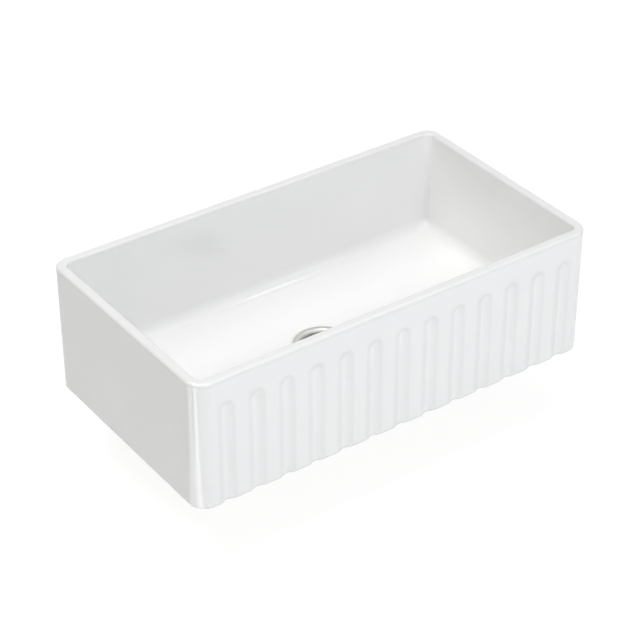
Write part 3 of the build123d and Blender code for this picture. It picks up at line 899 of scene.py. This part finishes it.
class SINK_OT_basket(bpy.types.Operator):
    """Make the perforated basket with its rolled lip"""
    bl_idname = "sink.basket"
    bl_label = "Perforated basket"

    def execute(self, context):
        fitting = context.scene.sink_fitting
        low, high, outer = reach("basket_cup")
        floor_z = low + fitting.sheet / 2
        bead = 0.9 * mm
        lip = (outer - bead, high - bead)
        shoulder = (39.8 * mm, lip[1] - 2.6 * mm * 1.28)
        knuckle = 31 * mm
        lean = (shoulder[0] - knuckle) / (shoulder[1] - floor_z)
        columns = 168
        floor_step, wall_step = 1.8 * mm, 2.133 * mm  # from a hole's middle to the rows beside it
        lowest_row, row_gap = 10.0, 6.4
        outline, holes = [], []
        for radius, count, across in ((14.0, 14, 3), (19.4, 21, 2), (24.8, 28, 2)):
            for part in (-1, 0, 1):
                outline.append((radius * mm + part * floor_step, floor_z))
            holes.append((len(outline) - 2, count, across, 0))
        curve = 6.0 * mm
        middle = (knuckle - curve * math.tan(math.pi / 4 - math.atan(lean) / 2), floor_z + curve)
        bend = [(middle[0] + curve * math.sin(turn), middle[1] - curve * math.cos(turn))
                for turn in [math.radians(12 + 13 * step) for step in range(5)]]
        outline += bend
        for index in range(4):
            height = floor_z + (lowest_row + row_gap * index) * mm
            for part in (-1, 0, 1):
                at = height + part * wall_step
                outline.append((knuckle + (at - floor_z) * lean, at))
            holes.append((len(outline) - 2, 28, 1, 3 * (index % 2)))
        outline += [(shoulder[0] - 0.12 * mm, shoulder[1] - 0.6 * mm),
                    (shoulder[0] + 0.35 * mm, shoulder[1] + 0.5 * mm), lip]
        outline = [(8.2 * mm, floor_z)] + outline
        outline = [(3.58 * mm, floor_z)] + outline
        rings = []
        for radius, height in outline:
            rings.append([Vector((radius * math.cos(2 * math.pi * i / columns),
                                  radius * math.sin(2 * math.pi * i / columns), height))
                          for i in range(columns)])
        bm = bmesh.new()
        rows = loft(bm, rings)
        doomed = []
        for row, count, across, shift in holes:
            for index in range(count):
                column = index * columns // count + shift
                doomed += round_hole(rows, row + 2, column, across, fitting.hole)
        bmesh.ops.delete(bm, geom=doomed, context="VERTS")
        face_outwards(bm)
        # painted shade: the basket and its lip get the darkened steel
        piece = new_piece(bm, "perforated_basket", fitting_material("shade_darkened_steel"), weighted=False)
        thick = piece.modifiers.new("sheet", "SOLIDIFY")
        thick.thickness, thick.offset = fitting.sheet, 0.0
        soft = piece.modifiers.new("round", "SUBSURF")
        soft.levels = soft.render_levels = 1
        place(piece, "basket_cup", "basket", "steel")

        bm = bmesh.new()
        made = bmesh.ops.create_circle(bm, segments=16, radius=bead)
        bmesh.ops.rotate(bm, verts=made["verts"], cent=(0, 0, 0), matrix=Matrix.Rotation(math.pi / 2, 3, "X"))
        bmesh.ops.translate(bm, verts=made["verts"], vec=(lip[0], 0, lip[1]))
        bmesh.ops.spin(bm, geom=bm.verts[:] + bm.edges[:], axis=(0, 0, 1), cent=(0, 0, 0), angle=2 * math.pi,
                       steps=168, use_merge=True)
        face_outwards(bm)
        rolled = new_piece(bm, "basket_rolled_lip", fitting_material("shade_darkened_steel"))
        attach(rolled, "basket")
        return {"FINISHED"}


class SINK_OT_post(bpy.types.Operator):
    """Make the basket's post, knob, collar, clip, nut and washer"""
    bl_idname = "sink.post"
    bl_label = "Post and knob"

    def execute(self, context):
        steel = fitting_material("brushed_steel")
        low, high, head = reach("basket_post")
        post = 3.5 * mm
        clip_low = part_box("post_clip")[0].z
        corners = [(0, low), (head, low, 0.85 * mm), (head, clip_low, 0.2 * mm), (post, clip_low),
                   (post, high), (0, high)]
        place(new_piece(turned_shape(corners, 64), "lifting_post", steel), "basket_post", "stopper", "steel")

        low, high, crown = reach("basket_knob")
        bore = 3.55 * mm
        edge = high - 6 * mm
        corners = [(bore, low), (6.5 * mm, low, 0.5 * mm), (6.5 * mm, low + 3 * mm, 0.5 * mm),
                   (5 * mm, low + 3 * mm, 0.5 * mm), (5 * mm, edge - 3 * mm, 3 * mm), (crown, edge, 0.5 * mm),
                   (crown, high, 2.4 * mm), (0, high), (0, low + 10 * mm), (bore, low + 10 * mm)]
        place(new_piece(turned_shape(corners, 96), "lifting_knob", steel), "basket_knob", "stopper", "steel")

        ring_piece("post_collar", "post_collar_ring", bore, 0.4 * mm, "brushed_steel", "stopper", "steel")
        ring_piece("seal_washer", "stopper_washer", bore, 0.25 * mm, "brushed_steel", "stopper", "steel")
        eased_copy("post_nut", "hexagonal_post_nut", "brushed_steel", 0.25 * mm, "stopper", "steel")
        eased_copy("post_clip", "sprung_post_clip", "spring_steel", 0.12 * mm, "stopper", "spring_steel")
        return {"FINISHED"}


class SINK_OT_stopper(bpy.types.Operator):
    """Make the moulded rubber stopper under the basket"""
    bl_idname = "sink.stopper"
    bl_label = "Rubber stopper"

    def execute(self, context):
        low, high, lip = reach("stopper_seal")
        bore, hollow = 3.55 * mm, 13 * mm
        corners = [(bore, low + 4 * mm), (hollow, low + 4 * mm, 0.8 * mm), (hollow, low, 0.5 * mm),
                   (lip, low, 0.6 * mm), (lip, low + 2.2 * mm, 0.6 * mm), (24 * mm, high, 0.6 * mm),
                   (bore, high)]
        piece = new_piece(turned_shape(corners, 128), "moulded_stopper", fitting_material("moulded_rubber"))
        place(piece, "stopper_seal", "stopper", "black_rubber")
        return {"FINISHED"}


# ---------------------------------------------------------------- studio

def looked_at(tree):
    """Light path mask: 1 for what the camera, a mirror or glass looks at."""
    path = add_node(tree, "ShaderNodeLightPath").outputs
    either = maths(tree, "MAXIMUM", path["Is Camera Ray"], path["Is Glossy Ray"])
    return maths(tree, "MAXIMUM", either, path["Is Transmission Ray"])


def soft_lamp(name, azimuth, elevation, distance, width, height, power, tint):
    """A rectangular lamp that faces the bowl. The azimuth is in degrees from the front towards the left."""
    turn, tilt = math.radians(azimuth), math.radians(elevation)
    target = Vector((0, 0, 0.12))
    place_at = target + distance * Vector((-math.cos(tilt) * math.sin(turn), -math.cos(tilt) * math.cos(turn),
                                           math.sin(tilt)))
    data = bpy.data.lights.new(name, "AREA")
    data.shape, data.size, data.size_y, data.energy, data.color = "RECTANGLE", width, height, power, tint
    lamp = put(name, data)
    lamp.location = place_at
    lamp.rotation_euler = (target - place_at).to_track_quat("-Z", "Y").to_euler()


def floor_strip(name, azimuth, width, power):
    """A lamp on the floor that leads away from the left front corner. It shows only where it is mirrored."""
    near, far, corner_foot = 0.08, 0.68, Vector((-0.4, -0.215, -0.12))
    turn = math.radians(azimuth)
    away = Vector((-math.cos(turn), -math.sin(turn), 0))
    data = bpy.data.lights.new(name, "AREA")
    data.shape, data.size, data.size_y, data.energy = "RECTANGLE", far - near, width, power
    lamp = put(name, data)
    lamp.location = corner_foot + away * (near + far) / 2
    lamp.rotation_euler = (math.pi, 0, math.atan2(away.y, away.x))
    lamp.visible_camera = lamp.visible_diffuse = False


class SINK_OT_studio(bpy.types.Operator):
    """Make the floor, the lamps, the sky and the camera"""
    bl_idname = "sink.studio"
    bl_label = "Studio"

    def execute(self, context):
        studio = context.scene.sink_studio
        self.make_floor(studio)
        self.make_sky(context, studio)
        cool, even, warm = (0.958, 0.978, 1.0), (1.0, 1.0, 1.0), (1.0, 0.998, 0.98)
        soft_lamp("overhead_lamp", 0, 90, 3.28, 3.0, 2.6, 22, cool)
        away, side = 4.5, 1.6
        for name, azimuth, elevation, power, tint in (
                ("low_front_lamp", 0, 10, 39, cool), ("front_lamp", 0, 35, 60, cool),
                ("left_lamp", 90, 35, 11, warm), ("high_left_lamp", 90, 65, 83, warm),
                ("right_lamp", -45, 30, 11, cool), ("back_lamp", 180, 65, 43, even)):
            soft_lamp(name, azimuth, elevation, away, side, side, power, tint)
        soft_lamp("glint_lamp", -97, 61, 3.0, 0.3, 0.2, 2.4, cool)
        floor_strip("corner_strip", -14, 0.20, 0.55)
        floor_strip("edge_strip", 22, 0.15, 0.92)
        self.make_camera(context, studio)
        context.scene.view_settings.view_transform = "Standard"
        return {"FINISHED"}

    def make_floor(self, studio):
        bm = bmesh.new()
        bmesh.ops.create_grid(bm, x_segments=1, y_segments=1, size=12.0)
        bmesh.ops.translate(bm, verts=bm.verts, vec=(0, 0, studio.floor_height))
        mesh = bpy.data.meshes.new("studio_floor")
        bm.to_mesh(mesh)
        bm.free()
        floor = put("studio_floor", mesh)
        made, tree, shader = new_material("studio_floor", Roughness=0.9)
        seen, shadow_share, glow = looked_at(tree), 0.15, 0.9
        shade = mixed(tree, seen, opaque(studio.floor), opaque((shadow_share,) * 3))
        tree.links.new(shade, shader.inputs["Base Color"])
        tree.links.new(maths(tree, "MULTIPLY", seen, glow), shader.inputs["Emission Strength"])
        shader.inputs["Emission Color"].default_value = (1, 1, 1, 1)
        mesh.materials.append(made)

    def make_sky(self, context, studio):
        world = bpy.data.worlds.new("studio_sky")
        context.scene.world = world
        world.use_nodes = True
        tree = world.node_tree
        back = tree.nodes["Background"]
        back.inputs["Color"].default_value = (1, 1, 1, 1)
        seen = looked_at(tree)
        strength = add_node(tree, "ShaderNodeMix", Factor=seen, A=studio.sky, B=1.0)
        tree.links.new(strength.outputs[0], back.inputs["Strength"])

    def make_camera(self, context, studio):
        data = bpy.data.cameras.new("photograph_camera")
        data.lens, data.sensor_width = studio.lens, 36.0
        camera = put("photograph_camera", data)
        camera.location = studio.camera
        camera.rotation_euler = Vector(studio.view).to_track_quat("-Z", "Y").to_euler()
        context.scene.camera = camera


# ---------------------------------------------------------------- add-on

operators = (SINK_OT_fireclay_body, SINK_OT_sealing_rings, SINK_OT_strainer_body, SINK_OT_locknut,
             SINK_OT_tailpiece, SINK_OT_basket, SINK_OT_post, SINK_OT_stopper, SINK_OT_studio)


class SINK_PT_panel(bpy.types.Panel):
    """Lists the sink's pieces and their sizes"""
    bl_idname = "SINK_PT_panel"
    bl_label = "Farmhouse sink"
    bl_space_type = "VIEW_3D"
    bl_region_type = "UI"
    bl_category = "Sink"

    def draw(self, context):
        for operator in operators:
            self.layout.operator(operator.bl_idname)
        for settings in (context.scene.sink_clay, context.scene.sink_fitting, context.scene.sink_studio):
            box = self.layout.box()
            for key in settings.__annotations__:
                box.prop(settings, key)


settings_groups = {"sink_clay": FireclaySettings, "sink_fitting": FittingSettings,
                   "sink_studio": StudioSettings}


def register():
    for made in (*settings_groups.values(), *operators, SINK_PT_panel):
        bpy.utils.register_class(made)
    for name, group in settings_groups.items():
        setattr(bpy.types.Scene, name, bpy.props.PointerProperty(type=group))


def unregister():
    for name in settings_groups:
        delattr(bpy.types.Scene, name)
    for made in reversed((*settings_groups.values(), *operators, SINK_PT_panel)):
        bpy.utils.unregister_class(made)


def main():
    register()
    for operator in operators:
        group, name = operator.bl_idname.split(".")
        getattr(getattr(bpy.ops, group), name)()


if __name__ == "__main__":
    main()
